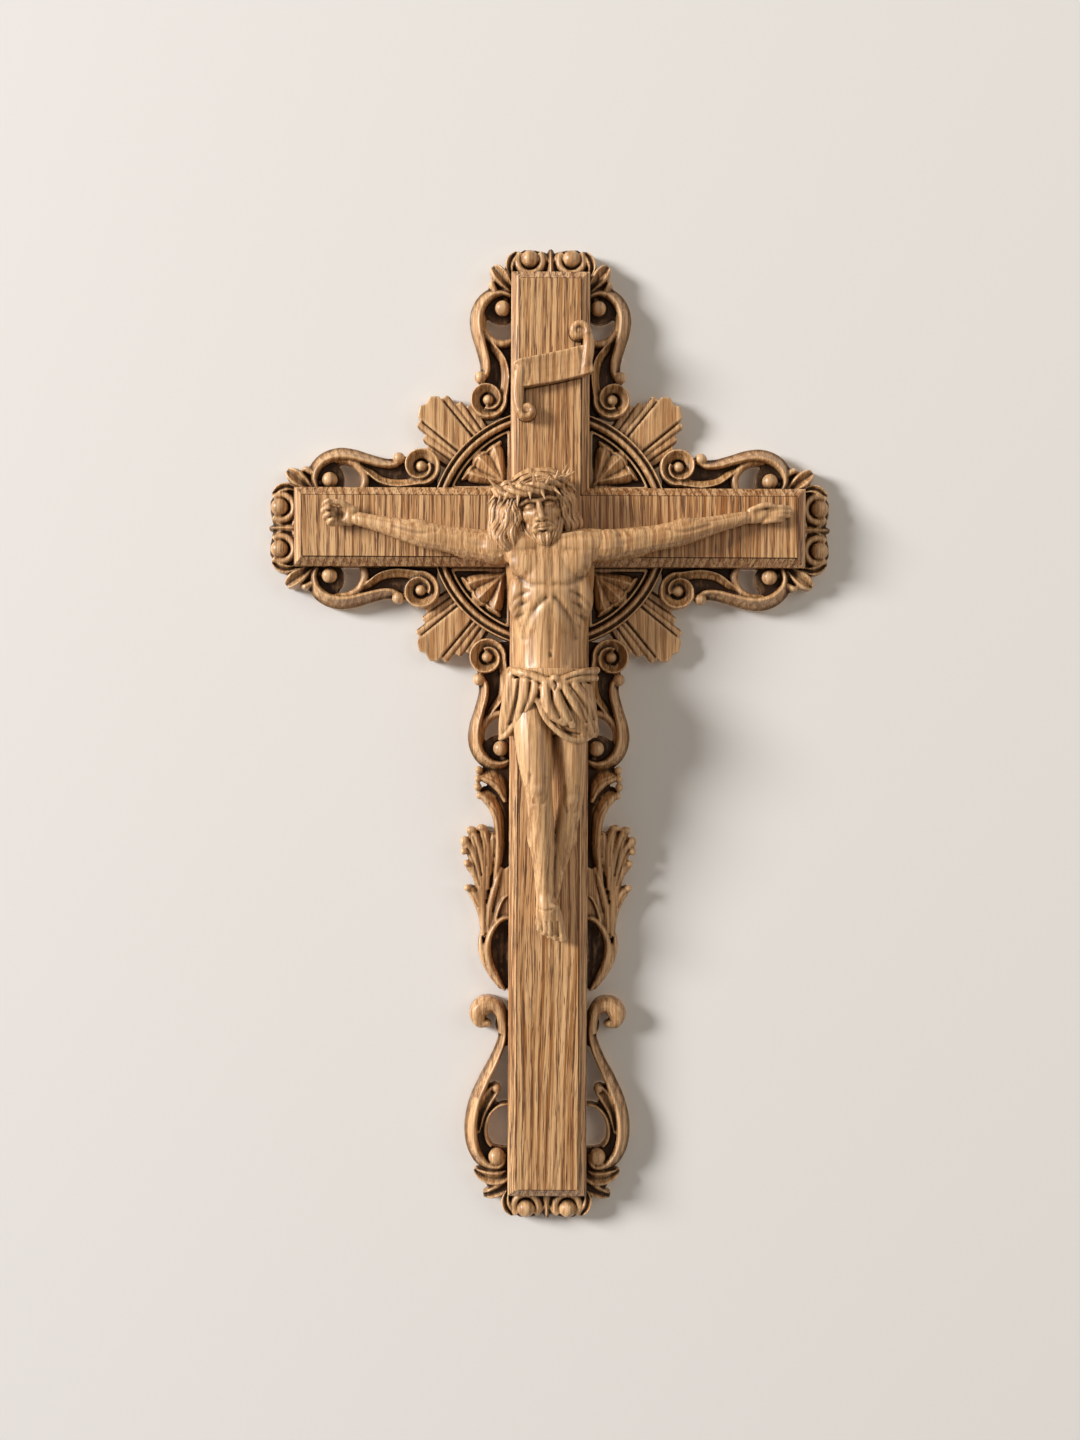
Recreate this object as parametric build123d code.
from build123d import *
import os
from math import atan2, cos, degrees, hypot, radians, sin, sqrt

# A carved wooden wall crucifix, put together from separately carved pieces: a half-lapped cross,
# openwork wings dowelled to its edges, a glory of ring panels and rays in the four corners, and a figure
# dowelled to its face. It is modelled lying on its back: X to the viewer's right, Y up the cross, Z out
# of the wall. The finished pieces are turned so that Z is up and the front faces -Y. The origin is on
# the back plane, at the middle of the crossing. All sizes are in millimetres.

# The cross
arm_reach = 104.0  # crossing centre to the end of the head and of each side arm
shaft_reach = 272.0  # crossing centre to the foot
beam_width = 32.0
beam_thickness = 16.0
bevel = 3.2
quirk = 0.5  # flat between the bevel and the raised face
face_step = 0.8
lap_depth = 8.0  # what each beam gives up at the half lap, measured from the back

# Carved ribs and grounds
rib_width = 3.8
rib_depth = 10.0
rib_crown = 1.6
web_depth = 5.0
piece_gap = 0.4  # open line between two carved pieces that are not glued to each other
ball_radius = 3.6

# The side scrolls, which repeat on both sides of all four arms
volute_offset = 9.5  # beam edge to the volute's centre
volute_radius = 7.6
volute_clear = 1.5  # open space between a volute and the ring
volute_knob_radius = 2.6
loop_inset = 18.4  # arm end to the loop's centre, along the arm
loop_offset = 1.8
loop_hole_radius = 9.2
curl_radius = 2.0
bud_width = 6.4
bud_length = 13.0
bud_depth = 7.0

# The crests at the four ends
crest_height = 12.0
crest_half_width = 17.5
crest_depth = 6.0
crest_ball_spread = 8.3  # middle of the crest to each ball
crest_ball_rise = 5.6
crest_socket_radius = 6.2
crest_socket_rim = 1.9
crest_shoulder_radius = 4.8
crest_leaf_width = 7.0
crest_leaf_depth = 8.0

# The glory: ring panels and rays in the corners of the crossing
ring_radius = 49.4
ring_rim = 2.4
ring_band = 5.0  # outside of the ring to its inside
ring_depth = 9.0
panel_depth = 4.8
panel_leaf_clear = 7.4  # along the beam, from the leaf's reach to the inside of the ring
panel_leaf_width = 7.4
panel_leaf_depth = 7.5
ray_reach = 73.5
ray_width = 9.0
ray_depth = 6.0
ray_step = 0.7  # each ray lies this much lower than its inner neighbour

# The acanthus leaves and the lyre scrolls on the shaft
acanthus_tuck = 0.6  # how far the top of the acanthus reaches behind the loop above it
acanthus_spread = 19.2
acanthus_depth = 8.5
acanthus_leaf_step = 1.0
cup_rim = 3.0
lyre_curl_radius = 7.0
lyre_spread = 18.2
lyre_length = 81.5  # lower end of the acanthus to the foot of the shaft
lyre_bulge_inset = 25.5  # foot of the shaft up to the widest place of the lyre
lyre_hole_radius = 4.6
lyre_lobe_width = 9.5
lyre_lobe_depth = 6.5

# The title scroll
title_drop = 42.0  # head of the cross down to the middle of the scroll
title_length = 31.0
title_band = 11.0
title_thickness = 2.2
title_curl_radius = 4.0
title_slope = 7.0  # degrees

# The figure
figure_top = 20.0  # crossing centre up to the top of the head
figure_height = 186.0
chest_width = 35.0
chest_relief = 17.0
thigh_radius = 7.0
calf_radius = 4.8
ankle_radius = 3.9
knee_relief = 13.0
foot_length = 15.0
foot_width = 10.5
shoulder_radius = 6.8
forearm_radius = 4.9
wrist_radius = 3.2
left_hand_inset = 13.0  # end of the crossbeam to the fingertips
right_hand_inset = 7.0
hand_rise = 10.5
head_width = 17.6
head_height = 25.0
head_thickness = 21.0
head_relief = 9.6
beard_length = 7.0
hair_thickness = 3.6
crown_radius = 10.2
crown_thickness = 3.8
thorn_length = 4.4
thorn_radius = 0.8
cloth_thickness = 2.4
cloth_flap_width = 9.0
cloth_flap_length = 27.0

# Dowels and the wall hanger
edge_dowel_radius = 1.5
edge_dowel_length = 11.0
edge_dowel_height = 2.6  # back plane to the dowels' centre line
body_dowel_radius = 2.5
body_dowel_length = 15.0
arm_dowel_radius = 1.6
arm_dowel_length = 10.0
dowel_clearance = 0.05
dowel_end_gap = 0.3
hanger_drop = 24.0  # head of the cross down to the middle of the hanger
hanger_length = 38.0
hanger_width = 16.0
hanger_thickness = 1.6
hanger_clearance = 0.1
keyhole_radius = 4.5
keyslot_width = 4.6
keyslot_length = 10.0
head_pocket_depth = 7.0
head_pocket_margin = 1.5
hanger_screw_spread = 14.0
screw_radius = 1.5
screw_head_radius = 3.0
screw_length = 11.0

# Overrun of every cut and clip
over = 1.0

# Places that follow from the sizes
half_beam = beam_width / 2
ring_inner_radius = ring_radius - ring_band
panel_leaf_length = ring_inner_radius - half_beam - panel_leaf_clear
face = beam_thickness
volute_reach = sqrt((ring_radius + volute_clear + volute_radius) ** 2 - (half_beam + volute_offset) ** 2)
loop_reach = arm_reach - loop_inset
acanthus_top = loop_reach + loop_hole_radius + rib_width - acanthus_tuck
acanthus_length = shaft_reach - lyre_length - acanthus_top
lyre_bulge_reach = shaft_reach - lyre_bulge_inset
title_height = arm_reach - title_drop
hanger_height = arm_reach - hanger_drop
edge_diagonal = Plane(origin=(0, 0, 0), z_dir=(1, -1, 0))
standing = (Align.CENTER, Align.CENTER, Align.MIN)


# Shares and reaches that several pieces use
ball_post_share = 0.62
whole = 2 * shaft_reach  # reaches past every piece


# Helpers that draw in the working frame

def prism(sketch, depth, start=0):
    """A sketch raised from the height start to the height depth."""
    return extrude(Pos(0, 0, start) * sketch, amount=depth - start, dir=(0, 0, 1))


def disc(x, y, radius, depth, start=0):
    return prism(Pos(x, y) * Circle(radius), depth, start)


def block(x0, x1, y0, y1, z0, z1):
    return Pos(x0, y0, z0) * Box(x1 - x0, y1 - y0, z1 - z0, align=(Align.MIN, Align.MIN, Align.MIN))


def rib_section(width, depth):
    """A rib's section: upright sides and a rounded top, with its foot at the origin."""
    half = width / 2
    sides = Polyline((half, depth - rib_crown), (half, 0), (-half, 0), (-half, depth - rib_crown))
    top = ThreePointArc((-half, depth - rib_crown), (0, depth), (half, depth - rib_crown))
    return make_face([*sides.edges(), top.edge()])


def rib_arc(start, middle, end, width=rib_width, depth=rib_depth):
    """A rounded rib along the arc through three points."""
    path = ThreePointArc(start, middle, end).edge()
    centre = path.arc_center
    radial = (Vector(*start) - centre).normalized()
    plane = Plane(origin=(start[0], start[1], 0), x_dir=radial, z_dir=radial.cross(Vector(0, 0, 1)))
    turn = (Vector(*start) - centre).cross(Vector(*middle) - centre).Z
    axis = Axis((centre.X, centre.Y, 0), (0, 0, 1 if turn > 0 else -1))
    sweep_angle = degrees(path.length / path.radius)
    return revolve(plane * rib_section(width, depth), axis=axis, revolution_arc=sweep_angle)


def rib_ring(x, y, radius, width=rib_width, depth=rib_depth):
    """A closed round rib whose middle line has this radius."""
    plane = Plane(origin=(x + radius, y, 0), x_dir=(1, 0, 0), z_dir=(0, -1, 0))
    return revolve(plane * rib_section(width, depth), axis=Axis((x, y, 0), (0, 0, 1)))


def ball(x, y, seat):
    """A carved ball on a short post; seat is the height of its middle."""
    return Pos(x, y, seat) * Sphere(ball_radius) + disc(x, y, ball_radius * ball_post_share, seat)


def lobe(base, tip, width, depth, start=0):
    """An elliptic leaf lobe from base to tip."""
    length = hypot(tip[0] - base[0], tip[1] - base[1])
    turn = degrees(atan2(tip[1] - base[1], tip[0] - base[0]))
    middle = Pos((base[0] + tip[0]) / 2, (base[1] + tip[1]) / 2)
    return prism(middle * Rot(0, 0, turn) * Ellipse(length / 2, width / 2), depth, start)


def reflected(shape, planes):
    for plane in planes:
        shape = mirror(shape, about=plane)
    return shape


def limb(stations):
    """A limb lofted through circles; stations are (x, y, z, radius), from one end to the other."""
    centres = [Vector(*s[:3]) for s in stations]
    sections = []
    for i, (centre, station) in enumerate(zip(centres, stations)):
        along = centres[min(i + 1, len(centres) - 1)] - centres[max(i - 1, 0)]
        plane = Plane(origin=centre, x_dir=Vector(0, 0, 1).cross(along), z_dir=along)
        sections.append(plane * Circle(station[3]))
    return loft(sections)


def ellipsoid(x, y, z, a, b, c):
    return Pos(x, y, z) * scale(Sphere(a), by=(1, b / a, c / a))


def above_face(shape):
    """What of a shape stands proud of the cross's face."""
    return shape & block(-whole, whole, -whole, whole, face, whole)


# Dowels: each is a pin across a glued joint, with its bore in both pieces

def dowel(radius, length, x, y, z, direction):
    pin = Plane(origin=(x, y, z), z_dir=direction) * Cylinder(radius, length)
    bore = Plane(origin=(x, y, z), z_dir=direction) * Cylinder(
        radius + dowel_clearance, length + 2 * dowel_end_gap
    )
    return pin, bore


def edge_dowel(x, y, direction):
    return dowel(edge_dowel_radius, edge_dowel_length, x, y, edge_dowel_height, direction)


# The side scroll on the upper edge of the right arm: a loop with a ball in its eye, two ribs that run on
# towards the crossing, and a volute. The other seven are reflections of it.

ball_sink_share = 0.8  # how much of the ball's radius stays inside the eye
ball_angle = 28.0
outer_rib_angle = 30.0
inner_rib_angle = 22.0
curl_place_share = 0.30
curl_rise_share = 0.42
outer_dip_share = 0.52
outer_dip_drop_share = 0.55
inner_dip_share = 0.40
inner_dip_rise_share = 0.12
bud_angle = 17.0
bud_lean = 6.0
scroll_dowel_share = 0.36  # place of the dowel between the volute and the loop
scroll_dowel_x = volute_reach + (loop_reach - volute_reach) * scroll_dowel_share
scroll_places = {
    "right_scroll_upper": [],
    "right_scroll_lower": [Plane.XZ],
    "left_scroll_upper": [Plane.YZ],
    "left_scroll_lower": [Plane.XZ, Plane.YZ],
    "top_scroll_right": [edge_diagonal],
    "top_scroll_left": [edge_diagonal, Plane.YZ],
    "shaft_scroll_right": [edge_diagonal, Plane.XZ],
    "shaft_scroll_left": [edge_diagonal, Plane.XZ, Plane.YZ],
}


def side_scroll(with_bud):
    base = half_beam
    loop_middle = loop_hole_radius + rib_width / 2
    loop_y = base + loop_offset
    volute_y = base + volute_offset
    volute_middle = volute_radius - rib_width / 2
    span = loop_reach - volute_reach

    loop = rib_ring(loop_reach, loop_y, loop_middle)
    ball_swing = loop_hole_radius - ball_radius * ball_sink_share
    ball_x = loop_reach + ball_swing * cos(radians(ball_angle))
    ball_y = loop_y + ball_swing * sin(radians(ball_angle))

    curl_x = volute_reach + span * curl_place_share
    curl_y = volute_y + volute_radius * curl_rise_share
    rib_start = (loop_reach - loop_middle * sin(radians(outer_rib_angle)),
                 loop_y + loop_middle * cos(radians(outer_rib_angle)))
    rib_dip = (volute_reach + span * outer_dip_share, curl_y - curl_radius * outer_dip_drop_share)
    outer_rib = rib_arc(rib_start, rib_dip, (curl_x, curl_y))
    curl = disc(curl_x, curl_y, curl_radius, rib_depth - rib_crown)

    low_start = (loop_reach - loop_middle * cos(radians(inner_rib_angle)),
                 loop_y + loop_middle * sin(radians(inner_rib_angle)))
    low_end = (volute_reach, volute_y - volute_middle)
    low_dip = (volute_reach + span * inner_dip_share, low_end[1] + rib_width * inner_dip_rise_share)
    inner_rib = rib_arc(low_start, low_dip, low_end)

    volute = rib_ring(volute_reach, volute_y, volute_middle)
    knob = disc(volute_reach, volute_y, volute_knob_radius, rib_depth)
    eye_floor = disc(volute_reach, volute_y, volute_middle, web_depth)
    web_outline = Polygon((loop_reach, base - over), (loop_reach, loop_y + loop_middle), rib_start, rib_dip,
                          (curl_x, curl_y), (volute_reach, volute_y), (volute_reach, base - over),
                          align=None)
    body = prism(web_outline, web_depth) + loop + outer_rib + curl + inner_rib + volute + knob + eye_floor
    body -= disc(loop_reach, loop_y, loop_hole_radius, rib_depth + over, -over)
    body += ball(ball_x, ball_y, rib_depth - rib_crown)
    if with_bud:
        bud_base = (loop_reach + loop_middle * cos(radians(bud_angle)),
                    loop_y + loop_middle * sin(radians(bud_angle)))
        bud_tip = (bud_base[0] + bud_length * cos(radians(bud_lean)),
                   bud_base[1] + bud_length * sin(radians(bud_lean)))
        bud = lobe(bud_base, bud_tip, bud_width, bud_depth)
        crest_room = block(arm_reach - piece_gap, whole, 0, crest_half_width + piece_gap, -over, whole)
        body += bud - disc(loop_reach, loop_y, loop_hole_radius, rib_depth + over, -over) - crest_room
    body &= block(0, whole, base, whole, 0, whole)
    return body


# The crest at the head of the cross, drawn with its glue face on the X axis: two balls in round sockets,
# a leaf between them and a shoulder at each side

crest_base_share = 0.42
crest_shoulder_share = 0.42
crest_ball_seat_share = 0.45
crest_places = {
    "top_crest": Pos(0, arm_reach) * Rot(0, 0, 0),
    "right_crest": Pos(arm_reach, 0) * Rot(0, 0, -90),
    "left_crest": Pos(-arm_reach, 0) * Rot(0, 0, 90),
    "foot_crest": Pos(0, -shaft_reach) * Rot(0, 0, 180),
}


def crest():
    outline = Rectangle(2 * crest_half_width, crest_height * crest_base_share,
                        align=(Align.CENTER, Align.MIN))
    for side in (-1, 1):
        outline += Pos(side * crest_ball_spread, crest_ball_rise) * Circle(crest_socket_radius)
        outline += Pos(side * (crest_half_width - crest_shoulder_radius),
                       crest_height * crest_shoulder_share) * Circle(crest_shoulder_radius)
    leaf_half = crest_leaf_width / 2
    leaf = Polygon((-leaf_half, 0), (leaf_half, 0), (0, crest_height), align=None)
    body = prism(outline, crest_depth) + prism(leaf, crest_leaf_depth)
    for side in (-1, 1):
        x = side * crest_ball_spread
        body += rib_ring(x, crest_ball_rise, crest_socket_radius - crest_socket_rim / 2, crest_socket_rim)
        body += ball(x, crest_ball_rise, crest_depth + ball_radius * crest_ball_seat_share)
    return body & block(-whole, whole, 0, whole, 0, whole)


# The glory in the upper right corner: a quarter panel with a double rim and a three-lobed leaf, and a fan
# of rays

panel_leaf_angles = (14.0, 45.0, 76.0)
ray_shares = ((0.0, 1.0, 1.0), (7.0, 0.72, 0.72), (12.5, 0.5, 0.62))  # turn in degrees, reach, width
corner_places = {
    "upper_right": [],
    "upper_left": [Plane.YZ],
    "lower_right": [Plane.XZ],
    "lower_left": [Plane.XZ, Plane.YZ],
}
panel_dowel_share = 0.72  # place of the dowel along the panel's edge
panel_dowel_y = half_beam + (ring_inner_radius - half_beam) * panel_dowel_share


def corner(shape):
    return shape & block(half_beam, whole, half_beam, whole, 0, whole)


def ring_panel():
    body = disc(0, 0, ring_radius, panel_depth)
    body += rib_ring(0, 0, ring_radius - ring_rim / 2, ring_rim, ring_depth)
    body += rib_ring(0, 0, ring_inner_radius + ring_rim / 2, ring_rim, ring_depth)
    for turn in panel_leaf_angles:
        tip = (half_beam + panel_leaf_length * cos(radians(turn)),
               half_beam + panel_leaf_length * sin(radians(turn)))
        body += lobe((half_beam, half_beam), tip, panel_leaf_width, panel_leaf_depth)
    return corner(body)


def rays():
    """Rays of falling length, each a step lower, cut clear of the two volutes that they pass between."""
    body = Part()
    for i, (turn, reach_share, width_share) in enumerate(ray_shares):
        reach = ring_radius + (ray_reach - ring_radius) * reach_share
        half = ray_width * width_share / 2
        outline = Polygon((0, -half), (reach - half, -half), (reach, 0), (reach - half, half), (0, half),
                          align=None)
        for side in ((1,) if turn == 0 else (-1, 1)):
            body += prism(Rot(0, 0, 45 + side * turn) * outline, ray_depth - i * ray_step)
    body -= disc(0, 0, ring_radius, whole, -over)
    for x, y in ((volute_reach, half_beam + volute_offset), (half_beam + volute_offset, volute_reach)):
        body -= disc(x, y, volute_radius + piece_gap, whole, -over)
    return body


# The acanthus on the right of the shaft: two leaves on a stem that grow out of a hollow cup

# Lobes as (base, tip, width), places as (down the leaf, out from the shaft)
acanthus_lobe_shares = (
    ((0.17, 0.05), (0.02, 0.62), 0.36),
    ((0.26, 0.05), (0.12, 0.70), 0.34),
    ((0.66, 0.40), (0.255, 0.62), 0.42),
    ((0.66, 0.50), (0.27, 0.96), 0.36),
    ((0.66, 0.60), (0.36, 1.00), 0.34),
    ((0.74, 0.60), (0.46, 0.94), 0.32),
    ((0.86, 0.55), (0.52, 0.98), 0.30),
)
acanthus_stem_shares = (
    (0.10, 0.0), (0.14, 0.30), (0.30, 0.26), (0.50, 0.30), (0.62, 0.60), (0.82, 0.60), (0.90, 0.0),
)
acanthus_cup_shares = ((0.66, 0.0), (0.79, 0.60), (1.02, 0.0))
leaf_dowel_share = 0.55
leaf_dowel_y = -acanthus_top - acanthus_length * leaf_dowel_share


def acanthus():
    def at(share):
        return half_beam + acanthus_spread * share[1], -acanthus_top - acanthus_length * share[0]

    body = Part()
    for i, (base, tip, width_share) in enumerate(acanthus_lobe_shares):
        depth = acanthus_depth - acanthus_leaf_step * (i % 2)
        body += lobe(at(base), at(tip), acanthus_spread * width_share, depth)
    stem = Polygon(*[at(p) for p in acanthus_stem_shares], align=None)
    body += prism(stem, web_depth)
    cup = [at(p) for p in acanthus_cup_shares]
    body += rib_arc(*cup, width=cup_rim)
    floor = make_face([ThreePointArc(*cup).edge(), Line(cup[2], cup[0]).edge()])
    body += prism(floor, web_depth)
    bottom = -acanthus_top - acanthus_length
    body &= block(half_beam, whole, bottom, 0, 0, whole)
    loop_outside = loop_hole_radius + rib_width + piece_gap
    return body - disc(half_beam + loop_offset, -loop_reach, loop_outside, whole, -over)


# The lyre scroll on the right of the shaft's foot: a curl, a long bowed rib that ends round a ball, and
# leaf lobes

# Places as (down from the curl's top, out from the shaft) in shares of the bow and of the spread
lyre_curl_seat_share = 0.88  # of the curl's radius that stands out from the shaft's edge
lyre_root_share = 0.3
lyre_neck_shares = (0.36, 0.09)
lyre_bend_shares = (0.56, 0.34)
lyre_flank_shares = (0.80, 0.74)
lyre_turn_shares = (1.24, 0.72)
lyre_end_shares = (1.29, 0.30)
lyre_ball_shares = (1.19, 0.28)
lyre_hole_shares = (0.98, 0.24)
lyre_lobe_shares = (((1.24, 0.05), (1.36, 0.82)), ((1.30, 0.0), (1.50, 0.52)))
lyre_dowel_share = 1.24
lyre_dowel_y = -(acanthus_top + acanthus_length) - (
    lyre_bulge_reach - acanthus_top - acanthus_length) * lyre_dowel_share


def lyre():
    top = acanthus_top + acanthus_length + piece_gap
    bow = lyre_bulge_reach - top  # from the curl's top to the widest place of the bow
    wide = half_beam + lyre_spread - rib_width / 2
    curl_x = half_beam + lyre_curl_radius * lyre_curl_seat_share
    curl_y = -top - lyre_curl_radius

    def at(share):
        return half_beam + lyre_spread * share[1], -top - bow * share[0]

    neck = at(lyre_neck_shares)
    flank = at(lyre_flank_shares)
    widest = (wide, -lyre_bulge_reach)
    foot_turn = at(lyre_turn_shares)
    foot_end = at(lyre_end_shares)
    body = disc(curl_x, curl_y, lyre_curl_radius, rib_depth)
    body += rib_arc((half_beam + rib_width * lyre_root_share, curl_y), neck, at(lyre_bend_shares))
    body += rib_arc(at(lyre_bend_shares), flank, widest)
    body += rib_arc(widest, foot_turn, foot_end)
    ball_x, ball_y = at(lyre_ball_shares)
    bend = at(lyre_bend_shares)
    web = Polygon((half_beam, bend[1]), bend, flank, widest, foot_turn, foot_end, (half_beam, foot_end[1]),
                  align=None)
    body += prism(web, web_depth)
    hole_x, hole_y = at(lyre_hole_shares)
    body -= disc(hole_x, hole_y, lyre_hole_radius, whole, -over)
    body += ball(ball_x, ball_y, rib_depth - rib_crown)
    for base, tip in lyre_lobe_shares:
        body += lobe(at(base), at(tip), lyre_lobe_width, lyre_lobe_depth)
    body &= block(half_beam, whole, -whole, -top, 0, whole)
    return body - block(0, crest_half_width + piece_gap, -whole, piece_gap - shaft_reach, -over, whole)


# The title scroll: a plain ribbon across the head of the cross, with one end curled down and the other up

title_curl_place_share = 0.7
title_neck_share = 1.0


def title_scroll():
    half = title_length / 2
    band = Rectangle(title_length, title_band)
    for side in (-1, 1):
        curl_y = side * (title_band / 2 + title_curl_radius * title_curl_place_share)
        curl_x = side * (half - title_curl_radius)
        band += Pos(curl_x, curl_y) * Circle(title_curl_radius)
        band += Pos(side * (half - title_curl_radius * title_neck_share / 2), curl_y / 2) * Rectangle(
            title_curl_radius * title_neck_share, abs(curl_y))
    place = Pos(0, title_height) * Rot(0, 0, title_slope)
    return prism(place * band, face + title_thickness, face)


# The figure, in pieces as a carver makes it: body with legs, head, crown, two arms and the loincloth

trunk_middle_share = 0.2
trunk_shares = (
    (0.085, 0.14, 0.72, -0.04),
    (0.125, 0.22, 0.74, -0.01),
    (0.150, 0.40, 0.76, 0.0),
    (0.195, 0.50, 0.90, 0.02),
    (0.250, 0.51, 1.00, 0.03),
    (0.310, 0.48, 0.97, 0.03),
    (0.370, 0.43, 0.82, 0.02),
    (0.430, 0.43, 0.86, 0.0),
    (0.490, 0.46, 0.88, -0.01),
    (0.540, 0.41, 0.80, -0.01),
)
cloth_shares = (
    (0.410, 0.43, 0.86, 0.0),
    (0.470, 0.45, 0.90, 0.0),
    (0.560, 0.44, 0.92, 0.0),
)
cloth_flap_place_share = 0.46
cloth_flap_relief_share = 0.30
cloth_flap_end_share = 0.32
cloth_knot_share = 0.445
cloth_knot_height_share = 0.42
# Legs from hip to ankle: (level, sideways, relief, size, size share)
front_leg_shares = (
    (0.490, -0.19, 0.55, "thigh", 1.00),
    (0.580, -0.17, 0.80, "thigh", 1.02),
    (0.670, -0.11, 0.95, "thigh", 0.90),
    (0.740, -0.07, 0.72, "calf", 1.12),
    (0.820, -0.04, 0.50, "calf", 0.95),
    (0.905, -0.01, 0.40, "ankle", 1.00),
)
back_leg_shares = (
    (0.490, 0.22, 0.50, "thigh", 0.95),
    (0.580, 0.23, 0.68, "thigh", 0.92),
    (0.670, 0.22, 0.75, "thigh", 0.78),
    (0.740, 0.18, 0.50, "calf", 1.00),
    (0.820, 0.10, 0.28, "calf", 0.80),
    (0.905, 0.04, 0.20, "ankle", 0.80),
)
foot_lean_share = 0.16
foot_drop_share = 0.36
foot_thick_share = 0.42
arm_root_share = 0.42
shoulder_level_share = 0.155
# Arms from the shoulder to the fingertips: (along, rise, relief, size, size share)
arm_shares = (
    (0.00, -0.02, 0.90, "shoulder", 1.00),
    (0.15, 0.00, 0.72, "shoulder", 0.92),
    (0.42, 0.12, 0.50, "forearm", 1.00),
    (0.60, 0.42, 0.42, "forearm", 0.96),
    (0.80, 0.86, 0.40, "wrist", 1.00),
    (0.90, 1.16, 0.42, "wrist", 1.15),
    (1.00, 1.44, 0.40, "wrist", 0.55),
)
head_side_share = -0.115
head_nod = 8.0
head_tilt = 10.0
hair_back_share = 0.25
beard_place_share = 0.18
beard_width_share = 0.28
crown_place_share = 0.20
thorn_count = 10
thorn_arc_start = -195.0
thorn_arc = 210.0
thorn_tilt = 28.0
thorn_root_share = 0.3
thorn_point_share = 0.2


def level(share):
    return figure_top - figure_height * share


def trunk(sections, grow=0):
    """Half-round sections of the trunk; each is (level, half-width, relief, sideways) in shares."""
    faces = []
    for height_share, width_share, relief_share, side_share in sections:
        front = chest_relief * relief_share + grow
        middle = chest_relief * trunk_middle_share
        plane = Plane(origin=(chest_width * side_share, level(height_share), face + middle),
                      x_dir=(1, 0, 0), z_dir=(0, -1, 0))
        faces.append(plane * Ellipse(chest_width * width_share + grow, front - middle))
    return loft(faces)


def figure_body():
    torso = trunk(trunk_shares)
    front_leg = limb(leg_stations(front_leg_shares))
    back_leg = limb(leg_stations(back_leg_shares))
    foot_x = chest_width * front_leg_shares[-1][1]
    foot_y = level(front_leg_shares[-1][0])
    foot_z = face + knee_relief * front_leg_shares[-1][2]
    foot = ellipsoid(foot_x + foot_width * foot_lean_share, foot_y - foot_length * foot_drop_share, foot_z,
                     foot_width / 2, foot_length / 2, foot_width * foot_thick_share)
    back_foot = ellipsoid(foot_x - foot_width * foot_lean_share, foot_y - foot_length * foot_drop_share,
                          face, foot_width / 2, foot_length / 2, foot_width / 2)
    return above_face(torso + front_leg + back_leg + foot + back_foot)


def leg_stations(shares):
    sizes = {"thigh": thigh_radius, "calf": calf_radius, "ankle": ankle_radius}
    return [(chest_width * side, level(height), face + knee_relief * relief, sizes[name] * size)
            for height, side, relief, name, size in shares]


def arm(side, inset):
    """An arm along the beam, side -1 for the viewer's left, from inside the shoulder to the fingertips."""
    run = arm_reach - inset - chest_width * arm_root_share
    sizes = {"shoulder": shoulder_radius, "forearm": forearm_radius, "wrist": wrist_radius}
    stations = [(side * (chest_width * arm_root_share + run * along),
                 level(shoulder_level_share) + hand_rise * rise,
                 face + shoulder_radius * relief, sizes[name] * size)
                for along, rise, relief, name, size in arm_shares]
    return above_face(limb(stations))


def head_axis():
    """The head's frame: its middle, leaning to the viewer's left and a little forward."""
    return Pos(chest_width * head_side_share, level(0) - head_height / 2,
               face + head_relief) * Rot(head_nod, 0, head_tilt)


def head():
    place = head_axis()
    skull = place * ellipsoid(0, 0, 0, head_width / 2, head_height / 2, head_thickness / 2)
    beard = place * ellipsoid(0, -head_height / 2, head_thickness * beard_place_share,
                              head_width * beard_width_share, beard_length,
                              head_thickness * beard_width_share)
    hair = place * ellipsoid(0, -hair_thickness, -head_thickness * hair_back_share,
                             head_width / 2 + hair_thickness, head_height / 2,
                             head_thickness / 2 + hair_thickness)
    return above_face(skull + beard + hair)


def crown():
    place = head_axis() * Pos(0, head_height * crown_place_share, 0)
    body = place * Rot(90, 0, 0) * Torus(crown_radius, crown_thickness / 2)
    for i in range(thorn_count):
        turn = thorn_arc_start + thorn_arc / (thorn_count - 1) * i
        tilt = thorn_tilt if i % 2 else -thorn_tilt
        spike = Cone(thorn_radius, thorn_radius * thorn_point_share, thorn_length, align=standing)
        root = Pos(crown_radius + crown_thickness * thorn_root_share, 0, 0) * Rot(0, 90 + tilt, 0)
        body += place * Rot(0, turn, 0) * root * spike
    return above_face(body)


def loincloth():
    """A wrap round the hips with a hanging end at the viewer's left and a knot at the right."""
    wrap = trunk(cloth_shares, cloth_thickness)
    hip = level(cloth_shares[-1][0])
    flap_x = -chest_width * cloth_flap_place_share
    flap_top = level(cloth_shares[0][0])
    flap_z = face + chest_relief * cloth_flap_relief_share
    flap = limb([(flap_x, flap_top, flap_z, cloth_flap_width / 2),
                 (flap_x, (flap_top + hip) / 2, flap_z, cloth_flap_width / 2),
                 (flap_x - cloth_thickness, flap_top - cloth_flap_length, flap_z,
                  cloth_flap_width * cloth_flap_end_share)])
    knot = ellipsoid(-flap_x, level(cloth_knot_share), flap_z, cloth_flap_width / 2,
                     cloth_flap_width * cloth_knot_height_share, cloth_flap_width / 2)
    return above_face(wrap + flap + knot)


# The wall hanger: a keyhole plate let into the back of the upright, and its two countersunk screws

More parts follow.
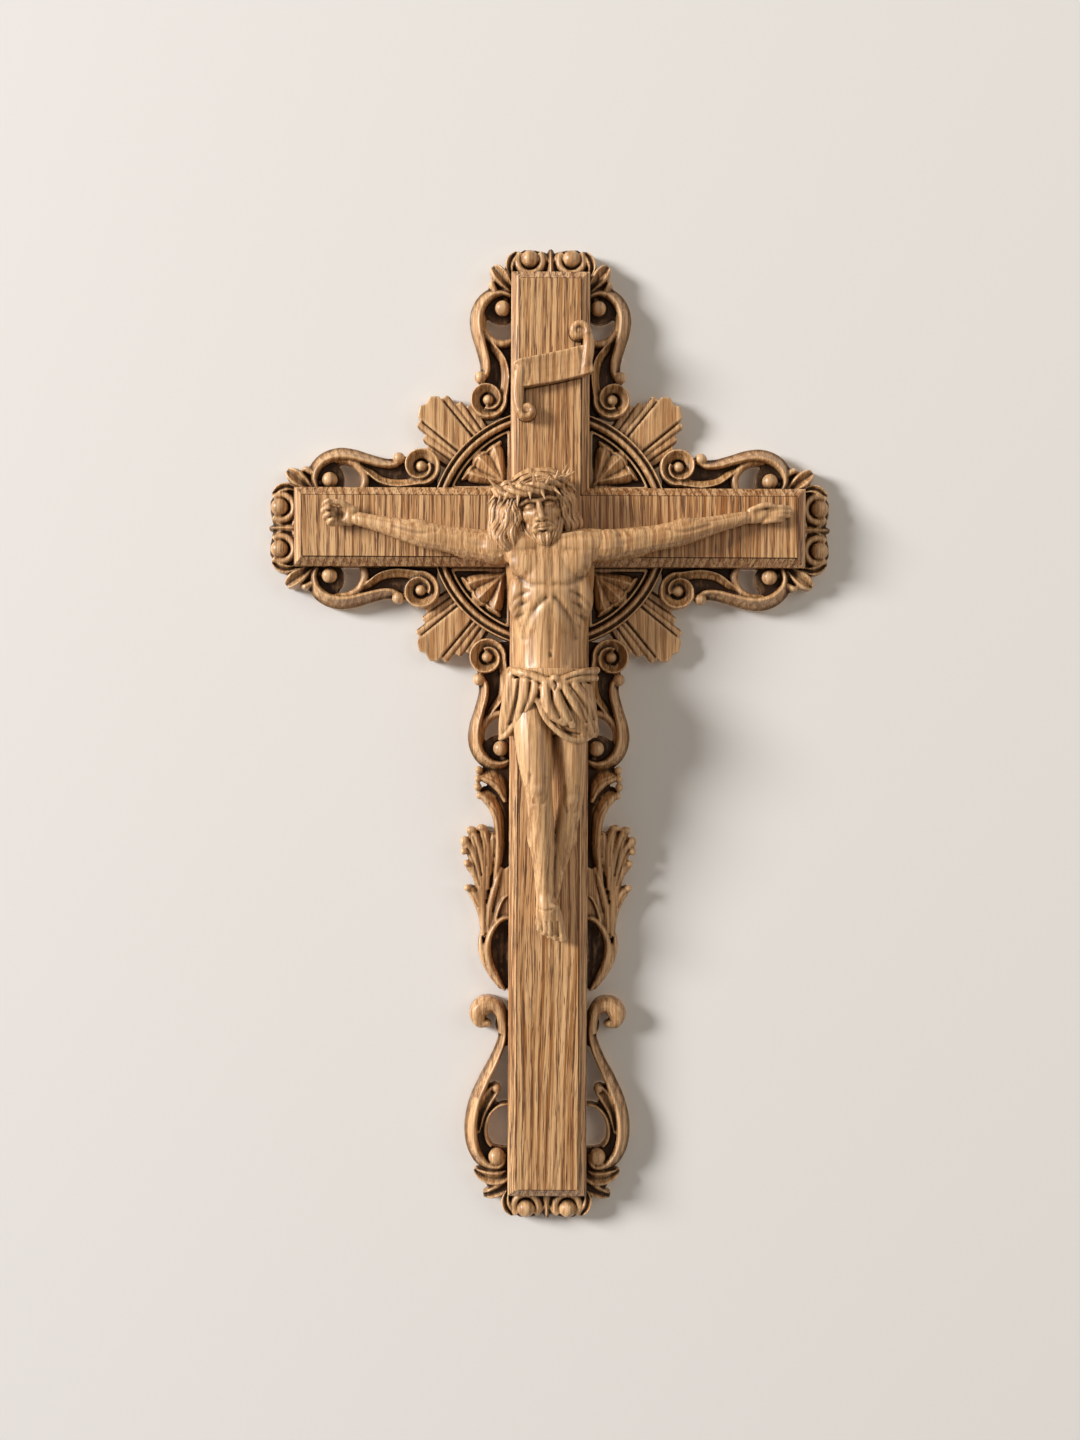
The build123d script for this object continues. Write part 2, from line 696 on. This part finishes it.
def hanger_plate():
    outline = SlotOverall(hanger_length, hanger_width, rotation=90)
    hole = Pos(0, -keyslot_length / 2) * Circle(keyhole_radius)
    slot = Pos(0, 0) * SlotCenterToCenter(keyslot_length, keyslot_width, rotation=90)
    plate = prism(outline - hole - slot, hanger_thickness)
    for side in (-1, 1):
        plate -= screw_shape(side * hanger_screw_spread, hanger_clearance)
    return Pos(0, hanger_height) * plate


def screw_shape(y, grow=0):
    """A countersunk screw driven from the back; grow makes the hole for it."""
    sink = Cone(screw_head_radius + grow, screw_radius + grow, hanger_thickness, align=standing)
    shank = Cylinder(screw_radius + grow, screw_length + grow, align=standing)
    return Pos(0, y) * (sink + shank)


def hanger_pocket():
    seat = SlotOverall(hanger_length + 2 * hanger_clearance, hanger_width + 2 * hanger_clearance,
                       rotation=90)
    head_room = SlotOverall(keyslot_length + 2 * (keyhole_radius + head_pocket_margin),
                            2 * (keyhole_radius + head_pocket_margin), rotation=90)
    room = prism(seat, hanger_thickness, -over) + prism(head_room, head_pocket_depth, -over)
    for side in (-1, 1):
        room += screw_shape(side * hanger_screw_spread, hanger_clearance)
    return Pos(0, hanger_height) * room


# The cross: one outline with a bevel all round and a raised face, parted into upright and crossbeam at a
# half lap

def cross_outline(inset):
    width = beam_width - 2 * inset
    upright = Rectangle(width, arm_reach + shaft_reach - 2 * inset)
    return Pos(0, (arm_reach - shaft_reach) / 2) * upright + Rectangle(2 * arm_reach - 2 * inset, width)


def cross():
    body = prism(cross_outline(0), face - face_step)
    body = chamfer(body.faces().sort_by(Axis.Z)[-1].edges(), bevel)
    return body + prism(cross_outline(bevel + quirk), face, face - face_step)


body_dowel_shares = (0.235, 0.475)
arm_dowel_place_share = 0.46
arm_dowel_relief_share = 0.85


def build():
    pieces = {}
    bores = []
    edge_pins = {"scroll_dowels": [], "crest_dowels": [], "panel_dowels": [], "leaf_dowels": []}

    scroll_pin, scroll_bore = edge_dowel(scroll_dowel_x, half_beam, (0, 1, 0))
    for name, planes in scroll_places.items():
        scroll = side_scroll(with_bud=not name.startswith("shaft")) - scroll_bore
        pieces[name] = reflected(scroll, planes)
        edge_pins["scroll_dowels"].append(reflected(scroll_pin, planes))
        bores.append(reflected(scroll_bore, planes))

    crest_pins = [edge_dowel(side * crest_ball_spread, 0, (0, 1, 0)) for side in (-1, 1)]
    crest_shape = crest()
    for pin, bore in crest_pins:
        crest_shape -= bore
    for name, place in crest_places.items():
        pieces[name] = place * crest_shape
        edge_pins["crest_dowels"] += [place * pin for pin, bore in crest_pins]
        bores += [place * bore for pin, bore in crest_pins]

    panel_pin, panel_bore = edge_dowel(half_beam, panel_dowel_y, (1, 0, 0))
    panel_shape = ring_panel() - panel_bore
    ray_shape = rays()
    for name, planes in corner_places.items():
        pieces["ring_panel_" + name] = reflected(panel_shape, planes)
        pieces["rays_" + name] = reflected(ray_shape, planes)
        edge_pins["panel_dowels"].append(reflected(panel_pin, planes))
        bores.append(reflected(panel_bore, planes))

    leaf_pin, leaf_bore = edge_dowel(half_beam, leaf_dowel_y, (1, 0, 0))
    lyre_pin, lyre_bore = edge_dowel(half_beam, lyre_dowel_y, (1, 0, 0))
    acanthus_shape = acanthus() - leaf_bore
    lyre_shape = lyre() - lyre_bore
    for side, planes in (("right", []), ("left", [Plane.YZ])):
        pieces["acanthus_" + side] = reflected(acanthus_shape, planes)
        pieces["lyre_scroll_" + side] = reflected(lyre_shape, planes)
        edge_pins["leaf_dowels"] += [reflected(leaf_pin, planes), reflected(lyre_pin, planes)]
        bores += [reflected(leaf_bore, planes), reflected(lyre_bore, planes)]

    body = figure_body()
    body_pins = [dowel(body_dowel_radius, body_dowel_length, 0, level(share), face, (0, 0, 1))
                 for share in body_dowel_shares]
    for pin, bore in body_pins:
        body -= bore
        bores.append(bore)
    arm_pins = [dowel(arm_dowel_radius, arm_dowel_length, side * chest_width * arm_dowel_place_share,
                      level(shoulder_level_share), face + shoulder_radius * arm_dowel_relief_share,
                      (1, 0, 0))
                for side in (-1, 1)]
    arms = {"left_arm": arm(-1, left_hand_inset) - body, "right_arm": arm(1, right_hand_inset) - body}
    for (name, shape), (pin, bore) in zip(arms.items(), arm_pins):
        pieces[name] = shape - bore
        body -= bore
    wrap = loincloth() - body
    for pin, bore in body_pins:
        wrap -= bore
    pieces["crown_of_thorns"] = crown() - body
    skull = head() - body - pieces["left_arm"] - pieces["right_arm"] - pieces["crown_of_thorns"]
    for pin, bore in arm_pins:
        skull -= bore
    pieces["corpus_body"] = body
    pieces["corpus_head"] = skull
    pieces["loincloth"] = wrap
    pieces["title_scroll"] = title_scroll() - skull - pieces["crown_of_thorns"]

    cross_body = cross() - hanger_pocket()
    for bore in bores:
        cross_body -= bore
    lap = block(-half_beam, half_beam, -half_beam, half_beam, -over, lap_depth)
    upright_room = block(-half_beam, half_beam, -whole, whole, -over, whole)
    pieces["upright"] = (cross_body & upright_room) - lap
    pieces["crossbeam"] = cross_body - (upright_room - lap)

    pieces["hanger_plate"] = hanger_plate()
    screws = [Pos(0, hanger_height) * screw_shape(side * hanger_screw_spread) for side in (-1, 1)]
    groups = dict(edge_pins)
    groups["corpus_dowels"] = [pin for pin, bore in body_pins]
    groups["arm_dowels"] = [pin for pin, bore in arm_pins]
    groups["hanger_screws"] = screws
    return pieces, groups


def export(name, shapes):
    solids = [solid for shape in shapes for solid in (Rot(90, 0, 0) * shape).solids()]
    export_step(solids[0] if len(solids) == 1 else Compound(children=solids), f"parts/{name}.step")


os.makedirs("parts", exist_ok=True)
pieces, groups = build()
for name, shape in pieces.items():
    export(name, [shape])
for name, shapes in groups.items():
    export(name, shapes)
